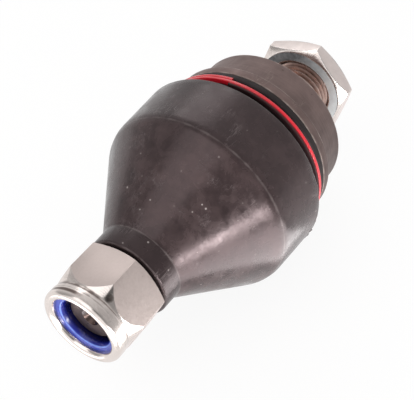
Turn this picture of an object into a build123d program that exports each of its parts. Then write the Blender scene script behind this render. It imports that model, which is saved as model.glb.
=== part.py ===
from build123d import *
import math
import os

# Suspension ball joint with a threaded mounting shank.
# The joint's axis is X. The origin is the centre of the housing's mounting shoulder:
# the shank points along +X, the ball stud and its lock nut point along -X.
# Every profile below is a list of (x, radius) points that is turned about X. Millimetres.

# Ball stud
ball_centre_x = -22.5
ball_radius = 13.0
ball_flat_x = -10.6
neck_radius = 6.2
neck_end_x = -36.4
neck_fillet = 1.5
journal_radius = 7.5
journal_start_x = -37.6
taper_start_x = -41.5
taper_end_x = -56.0
taper_ratio = 1 / 8
stud_thread_radius = 6.0
stud_end_x = -69.9
stud_end_chamfer = 0.9
centre_hole_radius = 2.2
centre_hole_depth = 3.6

# Housing
shank_radius = 8.0
shank_end_x = 22.0
shank_chamfer = 1.1
relief_radius = 7.0
relief_width = 2.2
relief_fillet = 0.8
body_radius = 19.85
body_chamfer = 0.6
flange_radius = 21.75
flange_front_x = -11.6
flange_back_x = -9.1
flange_edge_fillet = 0.4
groove_radius = 17.8
groove_front_x = -16.6
collar_radius = 19.0
collar_chamfer = 1.2
mouth_x = -33.4
cavity_radius = 15.5
cavity_floor_x = -5.6

# Bearing stack inside the housing
fit_gap = 0.05
stack_radius = 15.4
seat_gap = 0.05
plate_back_x = -7.55
lower_seat_back_x = -9.0
lower_seat_front_x = -21.6
upper_seat_back_x = -23.4
upper_seat_front_x = -29.0
closing_ring_front_x = -30.85
closing_ring_bore = 11.9
spring_outer_radius = 12.0
spring_inner_radius = 5.5
spring_thickness = 1.0
grease_hole_radius = 4.5

# Circlip and its groove
circlip_thickness = 1.2
circlip_groove_radius = 16.6
circlip_outer_radius = 16.45
circlip_inner_radius = 14.2
circlip_back_width = 2.25
circlip_end_width = 1.5
circlip_gap_angle = 34.0
lug_radius = 2.0
lug_hole_radius = 0.8
lug_inset = 0.3
lug_step_angle = 5.0

# Dust boot
neck_front_x = -59.1
neck_outer_radius = 10.1
cone_start_x = -54.0
cone_start_radius = 10.2
shoulder_x = -33.7
shoulder_radius = 23.9
rim_x = -19.3
rim_radius = 24.6
rim_edge = 0.5
rim_lip_radius = 22.2
rim_lip_x = -18.0
boot_wall = 2.1
neck_fillet_radius = 0.5
shoulder_fillet = 2.0
skirt_inner_radius = 19.3
skirt_front_x = -18.7
drum_end_x = -20.7
throat_radius = 8.0
seat_radius = 21.3
ring_seat_front_x = -16.4
ring_seat_back_x = -13.5
bead_radius = 21.8
bead_gap = 0.15
bead_chamfer = 0.3

# Slip bush in the boot's neck
bush_front_x = -58.6
bush_back_x = -54.4
bush_bore_radius = 7.55
bush_outer_radius = 8.6

# Boot clamping ring, a flat wire coiled twice
wire_width = 0.8
wire_height = 1.2
ring_pitch = 0.85
ring_turns = 2.0
ring_far_x = -14.15
ring_step_angle = 84.5

# Lock nut with a nylon insert
lock_nut_width = 19.0
lock_nut_bearing_x = -59.6
lock_nut_corner_x = -60.45
lock_nut_bearing_radius = 9.1
lock_nut_chamfer_x = -66.1
lock_nut_crease_x = -69.75
lock_nut_crease_radius = 9.4
lock_nut_collar_back_x = -70.35
lock_nut_collar_front_x = -72.6
lock_nut_collar_radius = 9.65
lock_nut_nose_x = -74.9
lock_nut_nose_radius = 8.0
lock_nut_lip_x = -74.2
lock_nut_mouth_radius = 7.2
lock_nut_entry_radius = 6.6
lock_nut_entry_depth = 0.55
lock_nut_angle = -7.1
insert_front_x = -73.1
insert_taper_x = -72.1
insert_back_x = -70.05
insert_outer_radius = 8.2
insert_entry_radius = 6.4
insert_bore_radius = 5.85

# Jam nut on the shank
jam_nut_width = 24.0
jam_nut_front_x = 15.8
jam_nut_back_x = 20.8
jam_nut_face_radius = 11.5
jam_nut_countersink_radius = 8.85
jam_nut_angle = -15.4

HEX_SIDES = 6
CHAMFER_ANGLE = 30.0


def turned(points):
    """Solid of revolution about X from a closed list of (x, radius) points."""
    return revolve(make_face(Polyline(points, close=True)), Axis.X)


def ball_height(x, radius):
    """Distance from the axis to a sphere about the ball's centre, at x."""
    return math.sqrt(radius**2 - (x - ball_centre_x) ** 2)


def ball_x(height, radius, side):
    """X where a sphere about the ball's centre has this height, on the given side."""
    return ball_centre_x + side * math.sqrt(radius**2 - height**2)


def rounded(solid, corners):
    """Fillet the circular edges of a turned solid that lie at each (x, radius)."""
    for x, radius, fillet_radius in corners:
        edges = [
            edge
            for edge in solid.edges().filter_by(GeomType.CIRCLE)
            if abs(edge.arc_center.X - x) < 0.01 and abs(edge.radius - radius) < 0.01
        ]
        solid = fillet(edges, fillet_radius)
    return solid


def hex_prism(across_flats, x_start, x_end, angle):
    """Hexagonal bar along X."""
    section = RegularPolygon(across_flats / 2, HEX_SIDES, major_radius=False, rotation=angle)
    return Plane.YZ.offset(x_start) * extrude(section, x_end - x_start)


def corner_radius(across_flats):
    return across_flats / math.sqrt(3)


def make_ball_stud():
    """Ball, waisted neck, sealing journal, 1:8 taper and threaded end, in one forging."""
    flat_height = ball_height(ball_flat_x, ball_radius)
    neck_start_x = ball_x(neck_radius, ball_radius, -1)
    taper_small = journal_radius - (taper_start_x - taper_end_x) * taper_ratio / 2
    outline = Polyline(
        (neck_start_x, neck_radius),
        (neck_end_x, neck_radius),
        (journal_start_x, journal_radius),
        (taper_start_x, journal_radius),
        (taper_end_x, taper_small),
        (taper_end_x, stud_thread_radius),
        (stud_end_x + stud_end_chamfer, stud_thread_radius),
        (stud_end_x, stud_thread_radius - stud_end_chamfer),
        (stud_end_x, 0),
        (ball_flat_x, 0),
        (ball_flat_x, flat_height),
    )
    sphere_arc = ThreePointArc(
        (ball_flat_x, flat_height),
        (ball_centre_x, ball_radius),
        (neck_start_x, neck_radius),
    )
    stud = revolve(make_face(outline + sphere_arc), Axis.X)
    stud = rounded(stud, [(neck_start_x, neck_radius, neck_fillet)])
    hole = turned([
        (stud_end_x - fit_gap, 0),
        (stud_end_x - fit_gap, centre_hole_radius),
        (stud_end_x + centre_hole_depth, 0),
    ])
    return stud - hole


def make_housing():
    """Forged cup with the boot groove, locating flange and threaded mounting shank."""
    housing = turned([
        (shank_end_x, 0),
        (shank_end_x, shank_radius - shank_chamfer),
        (shank_end_x - shank_chamfer, shank_radius),
        (relief_width, shank_radius),
        (relief_width - (shank_radius - relief_radius), relief_radius),
        (0, relief_radius),
        (0, body_radius - body_chamfer),
        (-body_chamfer, body_radius),
        (flange_back_x, body_radius),
        (flange_back_x, flange_radius),
        (flange_front_x, flange_radius),
        (flange_front_x, groove_radius),
        (groove_front_x, groove_radius),
        (groove_front_x, collar_radius),
        (mouth_x + collar_chamfer, collar_radius),
        (mouth_x, collar_radius - collar_chamfer),
        (mouth_x, cavity_radius),
        (cavity_floor_x, cavity_radius),
        (cavity_floor_x, 0),
    ])
    groove = turned([
        (closing_ring_front_x - circlip_thickness - fit_gap, cavity_radius - 1),
        (closing_ring_front_x - circlip_thickness - fit_gap, circlip_groove_radius),
        (closing_ring_front_x, circlip_groove_radius),
        (closing_ring_front_x, cavity_radius - 1),
    ])
    housing -= groove
    return rounded(housing, [
        (0, relief_radius, relief_fillet),
        (flange_back_x, flange_radius, flange_edge_fillet),
    ])


def make_lower_seat():
    """Cup under the ball, with a grease hole through its floor."""
    radius = ball_radius + seat_gap
    floor_x = ball_x(grease_hole_radius, radius, 1)
    lip_height = ball_height(lower_seat_front_x, radius)
    middle = math.radians(45)
    outline = Polyline(
        (lower_seat_front_x, lip_height),
        (lower_seat_front_x, stack_radius),
        (lower_seat_back_x, stack_radius),
        (lower_seat_back_x, grease_hole_radius),
        (floor_x, grease_hole_radius),
    )
    socket = ThreePointArc(
        (floor_x, grease_hole_radius),
        (ball_centre_x + radius * math.cos(middle), radius * math.sin(middle)),
        (lower_seat_front_x, lip_height),
    )
    return revolve(make_face(outline + socket), Axis.X)


def make_upper_seat():
    """Ring that closes over the ball and takes its pull-out load."""
    radius = ball_radius + seat_gap
    back_height = ball_height(upper_seat_back_x, radius)
    front_height = ball_height(upper_seat_front_x, radius)
    middle_x = (upper_seat_back_x + upper_seat_front_x) / 2
    outline = Polyline(
        (upper_seat_front_x, front_height),
        (upper_seat_front_x, stack_radius),
        (upper_seat_back_x, stack_radius),
        (upper_seat_back_x, back_height),
    )
    socket = ThreePointArc(
        (upper_seat_back_x, back_height),
        (middle_x, ball_height(middle_x, radius)),
        (upper_seat_front_x, front_height),
    )
    return revolve(make_face(outline + socket), Axis.X)


def make_pressure_plate():
    """Steel washer that spreads the spring's force over the lower seat."""
    return turned([
        (lower_seat_back_x + fit_gap, grease_hole_radius),
        (lower_seat_back_x + fit_gap, stack_radius),
        (plate_back_x, stack_radius),
        (plate_back_x, grease_hole_radius),
    ])


def make_disc_spring():
    """Conical spring washer between the housing's floor and the pressure plate."""
    outer_x = cavity_floor_x - fit_gap
    inner_x = plate_back_x + fit_gap
    return turned([
        (outer_x, spring_outer_radius),
        (outer_x - spring_thickness, spring_outer_radius),
        (inner_x, spring_inner_radius),
        (inner_x + spring_thickness, spring_inner_radius),
    ])


def make_closing_ring():
    """Steel ring that holds the upper seat down on the ball."""
    return turned([
        (upper_seat_front_x - fit_gap, closing_ring_bore),
        (upper_seat_front_x - fit_gap, stack_radius),
        (closing_ring_front_x, stack_radius),
        (closing_ring_front_x, closing_ring_bore),
    ])


def make_circlip():
    """Internal retaining ring: widest opposite its gap, with a holed lug at each end."""
    offset = (circlip_back_width - circlip_end_width) / 2
    bore = circlip_outer_radius - (circlip_back_width + circlip_end_width) / 2
    section = Circle(circlip_outer_radius) - Pos(offset, 0) * Circle(bore)
    half_gap = circlip_gap_angle / 2
    reach = 2 * circlip_outer_radius
    spread = reach * math.tan(math.radians(half_gap))
    section -= Polygon((0, 0), (reach, spread), (reach, -spread), align=None)
    for side in (-1, 1):
        lug_angle = math.radians(side * (half_gap + lug_step_angle))
        lug_reach = circlip_outer_radius - lug_radius - lug_inset
        place = Pos(lug_reach * math.cos(lug_angle), lug_reach * math.sin(lug_angle))
        section += place * Circle(lug_radius)
        section -= place * Circle(lug_hole_radius)
    start_x = closing_ring_front_x - circlip_thickness
    return Plane.YZ.offset(start_x) * extrude(section, circlip_thickness - fit_gap)


def make_dust_boot():
    """Rubber boot: neck round the slip bush, cone, drum, open rim and clamped bead."""
    slope = (shoulder_radius - cone_start_radius) / (shoulder_x - cone_start_x)
    cone_drop = boot_wall * math.sqrt(1 + slope**2)
    bead_inner = groove_radius + bead_gap
    drum_inner = shoulder_radius - boot_wall
    throat_x = cone_start_x + (throat_radius + cone_drop - cone_start_radius) / slope
    drum_start_x = cone_start_x + (drum_inner + cone_drop - cone_start_radius) / slope
    boot = turned([
        (neck_front_x, bush_outer_radius + bead_gap),
        (neck_front_x, neck_outer_radius),
        (cone_start_x, cone_start_radius),
        (shoulder_x, shoulder_radius),
        (rim_x, rim_radius),
        (rim_x + rim_edge, rim_radius - rim_edge),
        (rim_lip_x, rim_lip_radius),
        (ring_seat_front_x, seat_radius),
        (ring_seat_back_x, seat_radius),
        (ring_seat_back_x + bead_chamfer, bead_radius),
        (flange_front_x - bead_gap, bead_radius),
        (flange_front_x - bead_gap, bead_inner),
        (groove_front_x + bead_gap, bead_inner),
        (groove_front_x + bead_gap, skirt_inner_radius),
        (skirt_front_x, skirt_inner_radius),
        (drum_end_x, drum_inner),
        (drum_start_x, drum_inner),
        (throat_x, throat_radius),
        (bush_back_x, throat_radius),
        (bush_back_x, bush_outer_radius + bead_gap),
    ])
    return rounded(boot, [
        (neck_front_x, neck_outer_radius, neck_fillet_radius),
        (shoulder_x, shoulder_radius, shoulder_fillet),
    ])


def make_boot_ring():
    """Flat wire coiled on edge round the boot's bead, its ends lying side by side."""
    middle_radius = seat_radius + fit_gap + wire_height / 2
    height = ring_pitch * ring_turns
    path = Helix(ring_pitch, height, middle_radius)
    section = Plane.XZ * Pos(middle_radius, 0) * Rectangle(wire_height, wire_width)
    coil = sweep(section, path=path, is_frenet=True)
    start_angle = ring_step_angle - 360 * ring_turns
    return Plane.YZ * Pos(0, 0, ring_far_x - height) * Rot(0, 0, start_angle) * coil


def make_lip_bush():
    """Plastic sleeve in the boot's neck, in which the stud turns."""
    return turned([
        (bush_front_x, bush_bore_radius),
        (bush_front_x, bush_outer_radius),
        (bush_back_x - fit_gap, bush_outer_radius),
        (bush_back_x - fit_gap, bush_bore_radius),
    ])


def make_lock_nut():
    """Hexagon that runs into a round collar, whose lip is rolled in over the nylon ring."""
    corner = corner_radius(lock_nut_width)
    slope = (corner - lock_nut_crease_radius) / (lock_nut_chamfer_x - lock_nut_crease_x)
    reach = corner + 1
    outline = Polyline(
        (lock_nut_collar_front_x, lock_nut_collar_radius),
        (lock_nut_collar_back_x, lock_nut_collar_radius),
        (lock_nut_crease_x, lock_nut_crease_radius),
        (lock_nut_crease_x + (reach - lock_nut_crease_radius) / slope, reach),
        (lock_nut_corner_x, reach),
        (lock_nut_corner_x, corner),
        (lock_nut_bearing_x, lock_nut_bearing_radius),
        (lock_nut_bearing_x, lock_nut_entry_radius),
        (lock_nut_bearing_x - lock_nut_entry_depth, stud_thread_radius + fit_gap),
        (insert_back_x, stud_thread_radius + fit_gap),
        (insert_back_x, insert_outer_radius + fit_gap),
        (insert_front_x, insert_outer_radius + fit_gap),
        (insert_front_x, lock_nut_mouth_radius),
        (lock_nut_lip_x, lock_nut_mouth_radius),
    )
    nose = (lock_nut_nose_x, lock_nut_nose_radius)
    outer_roll = TangentArc(
        (lock_nut_collar_front_x, lock_nut_collar_radius),
        nose,
        tangent=(-1, 0),
    )
    inner_roll = TangentArc((lock_nut_lip_x, lock_nut_mouth_radius), nose, tangent=(-1, 0))
    blank = revolve(make_face(outline + outer_roll + inner_roll), Axis.X)
    waste = Plane.YZ.offset(lock_nut_crease_x) * extrude(
        Circle(reach + 1),
        lock_nut_bearing_x + 1 - lock_nut_crease_x,
    )
    waste -= hex_prism(
        lock_nut_width,
        lock_nut_crease_x - 1,
        lock_nut_bearing_x + 2,
        lock_nut_angle,
    )
    return blank - waste


def make_lock_nut_insert():
    """Nylon ring that grips the stud's thread, flared at its mouth."""
    return turned([
        (insert_front_x, insert_entry_radius),
        (insert_front_x, insert_outer_radius),
        (insert_back_x - fit_gap, insert_outer_radius),
        (insert_back_x - fit_gap, insert_bore_radius),
        (insert_taper_x, insert_bore_radius),
    ])


def make_jam_nut():
    """Thin hexagon nut, chamfered and countersunk on both faces."""
    corner = corner_radius(jam_nut_width)
    chamfer_length = (corner - jam_nut_face_radius) * math.tan(math.radians(CHAMFER_ANGLE))
    bore = shank_radius + fit_gap
    sink = jam_nut_countersink_radius - bore
    blank = turned([
        (jam_nut_front_x, jam_nut_countersink_radius),
        (jam_nut_front_x, jam_nut_face_radius),
        (jam_nut_front_x + chamfer_length, corner),
        (jam_nut_back_x - chamfer_length, corner),
        (jam_nut_back_x, jam_nut_face_radius),
        (jam_nut_back_x, jam_nut_countersink_radius),
        (jam_nut_back_x - sink, bore),
        (jam_nut_front_x + sink, bore),
    ])
    return blank & hex_prism(jam_nut_width, jam_nut_front_x, jam_nut_back_x, jam_nut_angle)


parts = {
    "housing": make_housing,
    "disc_spring": make_disc_spring,
    "pressure_plate": make_pressure_plate,
    "lower_seat": make_lower_seat,
    "upper_seat": make_upper_seat,
    "closing_ring": make_closing_ring,
    "circlip": make_circlip,
    "ball_stud": make_ball_stud,
    "lip_bush": make_lip_bush,
    "dust_boot": make_dust_boot,
    "boot_ring": make_boot_ring,
    "lock_nut": make_lock_nut,
    "lock_nut_insert": make_lock_nut_insert,
    "jam_nut": make_jam_nut,
}

os.makedirs("parts", exist_ok=True)
for name, make in parts.items():
    export_step(make(), f"parts/{name}.step")
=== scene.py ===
import math

import bmesh
import bpy
from bpy.props import FloatProperty, FloatVectorProperty, IntProperty, PointerProperty
from mathutils import Matrix, Vector


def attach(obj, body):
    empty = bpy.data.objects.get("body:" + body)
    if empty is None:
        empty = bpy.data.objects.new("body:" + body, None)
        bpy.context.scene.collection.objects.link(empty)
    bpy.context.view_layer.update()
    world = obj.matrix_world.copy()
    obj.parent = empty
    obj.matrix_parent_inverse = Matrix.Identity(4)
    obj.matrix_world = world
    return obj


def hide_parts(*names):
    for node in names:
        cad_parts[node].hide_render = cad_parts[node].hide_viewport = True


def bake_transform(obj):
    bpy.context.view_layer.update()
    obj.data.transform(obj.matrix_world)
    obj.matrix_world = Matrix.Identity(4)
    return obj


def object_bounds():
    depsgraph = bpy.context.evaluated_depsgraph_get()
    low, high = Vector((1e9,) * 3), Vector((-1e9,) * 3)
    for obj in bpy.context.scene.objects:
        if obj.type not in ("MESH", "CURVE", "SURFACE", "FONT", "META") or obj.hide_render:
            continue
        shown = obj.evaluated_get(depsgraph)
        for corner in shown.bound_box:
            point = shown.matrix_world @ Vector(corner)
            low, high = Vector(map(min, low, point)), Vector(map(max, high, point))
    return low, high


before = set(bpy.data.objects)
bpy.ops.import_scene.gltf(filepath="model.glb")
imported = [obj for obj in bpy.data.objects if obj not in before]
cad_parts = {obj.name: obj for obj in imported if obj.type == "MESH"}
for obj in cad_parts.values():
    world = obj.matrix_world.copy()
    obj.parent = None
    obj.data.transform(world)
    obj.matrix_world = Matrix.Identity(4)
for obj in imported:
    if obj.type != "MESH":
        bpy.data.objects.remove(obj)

bl_info = {
    "name": "Suspension ball joint",
    "version": (1, 0, 0),
    "blender": (4, 5, 0),
    "location": "View3D > Sidebar > Ball joint",
    "description": "Dresses the packed ball joint: boot, clamping ring, housing, stud and nuts",
    "category": "Object",
}

MM = 0.001
PER_METRE = 1000.0
FULL_TURN = 2 * math.pi
CAD_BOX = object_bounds()

# Lengths are in millimetres, and places lie along the joint's axis X from the housing's shoulder.
# The boot: front of its neck, and the circles where its cone starts, its drum starts and its rim ends.
NECK_FRONT, NECK_RADIUS = -59.1, 10.1
CONE_START, CONE_RADIUS = -54.0, 10.2
SHOULDER, SHOULDER_RADIUS = -33.7, 23.9
RIM, RIM_RADIUS = -19.3, 24.6
NECK_BORE = 8.0
# The housing and the stud.
FLANGE_FRONT, FLANGE_BACK, FLANGE_RADIUS = -11.6, -9.1, 21.75
BODY_RADIUS = 19.85
SHANK_RADIUS = 8.0
SHANK_END = 22.0
BALL_CENTRE, BALL_RADIUS = -22.5, 13.0
STUD_RADIUS = 6.0
STUD_END = -71.2
THREAD_SIDES = 72
# The lock nut: its chamfer runs from the corners down to a crease, where the rolled lip starts.
LOCK_NUT_FLATS = 19.0
CORNER, CORNER_RADIUS = -67.7, 10.97
CREASE, CREASE_RADIUS = -70.95, 9.3
LIP, LIP_RADIUS, LIP_ROUND = -73.4, 8.5, 1.15
# The jam nut: its faces, and the circle where each face ends in the chamfer.
JAM_NUT_FLATS = 24.0
JAM_FRONT, JAM_BACK, JAM_FACE_RADIUS = 15.8, 20.8, 11.5
# Places of the finishes on both nuts.
FLAT, TURNED, BROKEN_EDGE, PRESSED_FACE = range(4)

# In metres: lamps this high stand just above the floor.
TABLE_TOP = -0.0235


def tone(red, green, blue):
    """A colour as it looks, 0 to 255, turned into the linear values that shaders use."""
    def linear(value):
        share = value / 255
        return share / 12.92 if share <= 0.04045 else ((share + 0.055) / 1.055) ** 2.4
    return (linear(red), linear(green), linear(blue))


def colour_setting(name, description, shade):
    return FloatVectorProperty(
        name=name, description=description, subtype="COLOR", size=3, min=0, max=1, default=shade)


def length_setting(name, description, millimetres):
    return FloatProperty(
        name=name, description=description, unit="LENGTH", min=0, default=millimetres * MM, precision=5)


# ---------------------------------------------------------------- settings

class BootSettings(bpy.types.PropertyGroup):
    rubber: colour_setting("Rubber", "Colour of the boot's rubber", tone(34, 27, 28))
    bloom: colour_setting("Bloom", "Paler film that rubber gets with age", tone(78, 64, 64))
    wall: length_setting("Wall", "Thickness of the boot's wall", 2.1)
    sides: IntProperty(name="Sides", description="Faces round the boot", min=24, max=256, default=144)


class RingSettings(bpy.types.PropertyGroup):
    coat: colour_setting("Coat", "Colour of the wire's coat", tone(228, 24, 46))
    height: length_setting("Height", "Size of the wire across the ring", 1.2)
    width: length_setting("Width", "Size of the wire along the axis", 0.8)
    pitch: length_setting("Pitch", "Distance between two turns", 0.85)
    turns: FloatProperty(name="Turns", description="Turns of the coil", min=1.1, max=3.0, default=2.0)
    step_angle: FloatProperty(
        name="Step", description="Where the coil's far end lies, from +Y towards +Z",
        subtype="ANGLE", default=math.radians(84.5))


class HousingSettings(bpy.types.PropertyGroup):
    steel: colour_setting("Steel", "Colour of the phosphated housing", tone(130, 109, 105))
    thread_pitch: length_setting("Thread pitch", "Pitch of the shank's thread", 1.5)
    copper: colour_setting("Thread tint", "Colour of the thread's rubbed crests", tone(190, 158, 146))


class StudSettings(bpy.types.PropertyGroup):
    steel: colour_setting("Steel", "Colour of the stud", tone(138, 124, 120))
    thread_pitch: length_setting("Thread pitch", "Pitch of the stud's thread", 1.5)


class NutSettings(bpy.types.PropertyGroup):
    zinc: colour_setting("Zinc", "Colour of the nuts' plating", tone(226, 216, 211))
    drawn: colour_setting("Drawn flats", "Colour of the nuts' dull flats", tone(190, 176, 171))
    nylon: colour_setting("Nylon", "Colour of the lock nut's insert", tone(22, 32, 138))
    edge: length_setting("Edge", "Width of the broken edges", 0.26)


class StageSettings(bpy.types.PropertyGroup):
    paper: colour_setting("Floor", "Colour of the floor", tone(246, 245, 244))
    focal: FloatProperty(name="Focal length", description="Camera lens in millimetres", default=73.59)
    sky: FloatProperty(name="Sky", description="Strength of the room's light", min=0, default=1.0)


# ---------------------------------------------------------------- modelling helpers

def clear_selection():
    """Back to object mode with nothing selected."""
    active = bpy.context.view_layer.objects.active
    if active is not None and active.mode != "OBJECT":
        bpy.ops.object.mode_set(mode="OBJECT")
    bpy.ops.object.select_all(action="DESELECT")


def take(piece):
    """Make this piece the active one and the only one selected."""
    clear_selection()
    piece.select_set(True)
    bpy.context.view_layer.objects.active = piece


def edit(piece):
    take(piece)
    bpy.ops.object.mode_set(mode="EDIT")
    bpy.ops.mesh.select_mode(type="VERT")


def face_outwards():
    """Turn the edited piece's normals outwards and leave edit mode."""
    bpy.ops.mesh.select_all(action="SELECT")
    bpy.ops.mesh.normals_make_consistent(inside=False)
    bpy.ops.object.mode_set(mode="OBJECT")


def select_where(piece, test):
    """Select the vertices of the edited piece whose place passes the test."""
    shape = bmesh.from_edit_mesh(piece.data)
    for face in shape.faces:
        face.select = False
    for line in shape.edges:
        line.select = False
    for vertex in shape.verts:
        vertex.select = test(vertex.co)
    shape.select_flush_mode()
    bmesh.update_edit_mesh(piece.data)


def near(place, x, radius, slack=0.02):
    """Whether a place lies on the circle at x with this radius, in millimetres."""
    height = math.hypot(place.y, place.z)
    return abs(place.x / MM - x) < slack and abs(height / MM - radius) < slack


def draw_line(name, points, rounds=(), closed=True):
    """A profile in the XZ plane, drawn point by point, with some corners rounded."""
    clear_selection()
    bpy.ops.mesh.primitive_plane_add(size=MM)
    piece = bpy.context.object
    piece.name = name
    piece.data.name = name
    bpy.ops.object.mode_set(mode="EDIT")
    bpy.ops.mesh.select_mode(type="VERT")
    bpy.ops.mesh.merge(type="CENTER")
    here = points[0]
    bpy.ops.transform.translate(value=(here[0] * MM, 0, here[1] * MM))
    for there in points[1:]:
        move = ((there[0] - here[0]) * MM, 0, (there[1] - here[1]) * MM)
        bpy.ops.mesh.extrude_vertices_move(TRANSFORM_OT_translate={"value": move})
        here = there
    if closed:
        ends = (points[0], points[-1])
        select_where(piece, lambda place: any(near(place, *end, slack=1e-4) for end in ends))
        bpy.ops.mesh.edge_face_add()
    for x, radius, setback, steps in rounds:
        select_where(piece, lambda place: near(place, x, radius))
        bpy.ops.mesh.bevel(offset=setback * MM, segments=steps, affect="VERTICES")
    return piece


def split_run(piece, start, end, cuts):
    """Cut the edited profile's long lines between two places into short lengths."""
    shape = bmesh.from_edit_mesh(piece.data)
    for vertex in shape.verts:
        vertex.select = False
    for line in shape.edges:
        places = [vertex.co for vertex in line.verts]
        line.select = all(start < place.x / MM < end for place in places) and (
            abs(places[0].x - places[1].x) > 2 * MM)
    shape.select_flush(False)
    for line in shape.edges:
        if line.select:
            for vertex in line.verts:
                vertex.select = True
    bmesh.update_edit_mesh(piece.data)
    bpy.ops.mesh.subdivide(number_cuts=cuts)


def spin_line(piece, sides):
    """Turn the edited profile about X into a closed skin with its normals outwards."""
    bpy.ops.mesh.select_all(action="SELECT")
    bpy.ops.mesh.spin(steps=sides, angle=FULL_TURN, center=(0, 0, 0), axis=(1, 0, 0))
    bpy.ops.mesh.select_all(action="SELECT")
    bpy.ops.mesh.remove_doubles(threshold=0.001 * MM)
    face_outwards()
    return piece


def turned(name, points, rounds=(), sides=128, closed=True):
    """A piece turned on a lathe from its profile."""
    return spin_line(draw_line(name, points, rounds, closed), sides)


def apply_all(piece):
    take(piece)
    for modifier in list(piece.modifiers):
        bpy.ops.object.modifier_apply(modifier=modifier.name)


def cut_with(piece, tool, operation):
    """Keep or remove what another closed piece covers, and delete that piece."""
    change = piece.modifiers.new("Cut", "BOOLEAN")
    change.operation = operation
    change.object = tool
    change.solver = "EXACT"
    apply_all(piece)
    bpy.data.objects.remove(tool)


def break_edges(piece, width, finish):
    """Give every sharp edge the small round that tools and plating leave, in a finish of its own."""
    change = piece.modifiers.new("Edges", "BEVEL")
    change.width = width
    change.segments = 2
    change.limit_method = "ANGLE"
    change.angle_limit = math.radians(25)
    change.material = finish
    apply_all(piece)


def smooth(piece, angle):
    """Shade smooth, with sharp edges above this angle in degrees."""
    take(piece)
    bpy.ops.object.shade_smooth_by_angle(angle=math.radians(angle))


def screw_line(piece, turn, travel, steps):
    """Sweep the edited profile along a helix about X."""
    bpy.ops.object.mode_set(mode="OBJECT")
    change = piece.modifiers.new("Helix", "SCREW")
    change.axis = "X"
    change.angle = turn
    change.screw_offset = travel
    change.steps = steps
    change.render_steps = steps
    change.use_normal_calculate = True
    return change


def trim(x, keep_above):
    """Cut the edited piece square at x and close the cut."""
    bpy.ops.mesh.select_all(action="SELECT")
    bpy.ops.mesh.bisect(
        plane_co=(x * MM, 0, 0), plane_no=(1, 0, 0), use_fill=True,
        clear_inner=keep_above, clear_outer=not keep_above)


def threaded(name, radius, pitch, start, end, chamfers, hole=()):
    """A rod with a right-handed thread, chamfered at one or both ends, with a hole in its start if given."""
    root = radius - 0.6 * pitch
    ridge = [(0, root), (0.18 * pitch, root), (0.47 * pitch, radius),
             (0.61 * pitch, radius), (0.90 * pitch, root), (pitch, root)]
    first = start - 2 * pitch
    piece = draw_line(name, [(first + x, r) for x, r in ridge], closed=False)
    change = screw_line(piece, FULL_TURN, pitch * MM, THREAD_SIDES)
    change.iterations = math.ceil((end - start) / pitch) + 4
    apply_all(piece)
    edit(piece)
    bpy.ops.mesh.select_all(action="SELECT")
    bpy.ops.mesh.remove_doubles(threshold=0.002 * MM)
    trim(start - 0.7, True)
    trim(end + 0.7, False)
    face_outwards()
    low, high = chamfers
    reach = radius + 1
    outline = [*(hole or [(start, 0)]), (start, radius - low), (start + 1 + low, reach),
               (end - 1 - high, reach), (end, radius - high), (end, 0)]
    if not high:
        outline[-3:-1] = [(end, reach)]
    envelope = turned(name + "_envelope", outline, sides=THREAD_SIDES, closed=False)
    cut_with(piece, envelope, "INTERSECT")
    return piece


def hexagon_bar(name, across_flats, start, end, angle):
    """A hexagonal bar along X, its corners at this angle and every sixth of a turn on."""
    clear_selection()
    bpy.ops.mesh.primitive_cylinder_add(
        vertices=6, radius=across_flats * MM / math.sqrt(3), depth=(end - start) * MM,
        location=((start + end) / 2 * MM, 0, 0), rotation=(0, math.pi / 2, 0))
    bar = bpy.context.object
    bar.name = name
    bar.data.name = name
    bpy.ops.object.transform_apply(location=True, rotation=True, scale=True)
    first = bar.data.vertices[0].co
    now = math.atan2(first.z, first.y)
    bar.data.transform(Matrix.Rotation(math.radians(angle) - now, 4, "X"))
    return bar


# ---------------------------------------------------------------- material helpers

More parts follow.
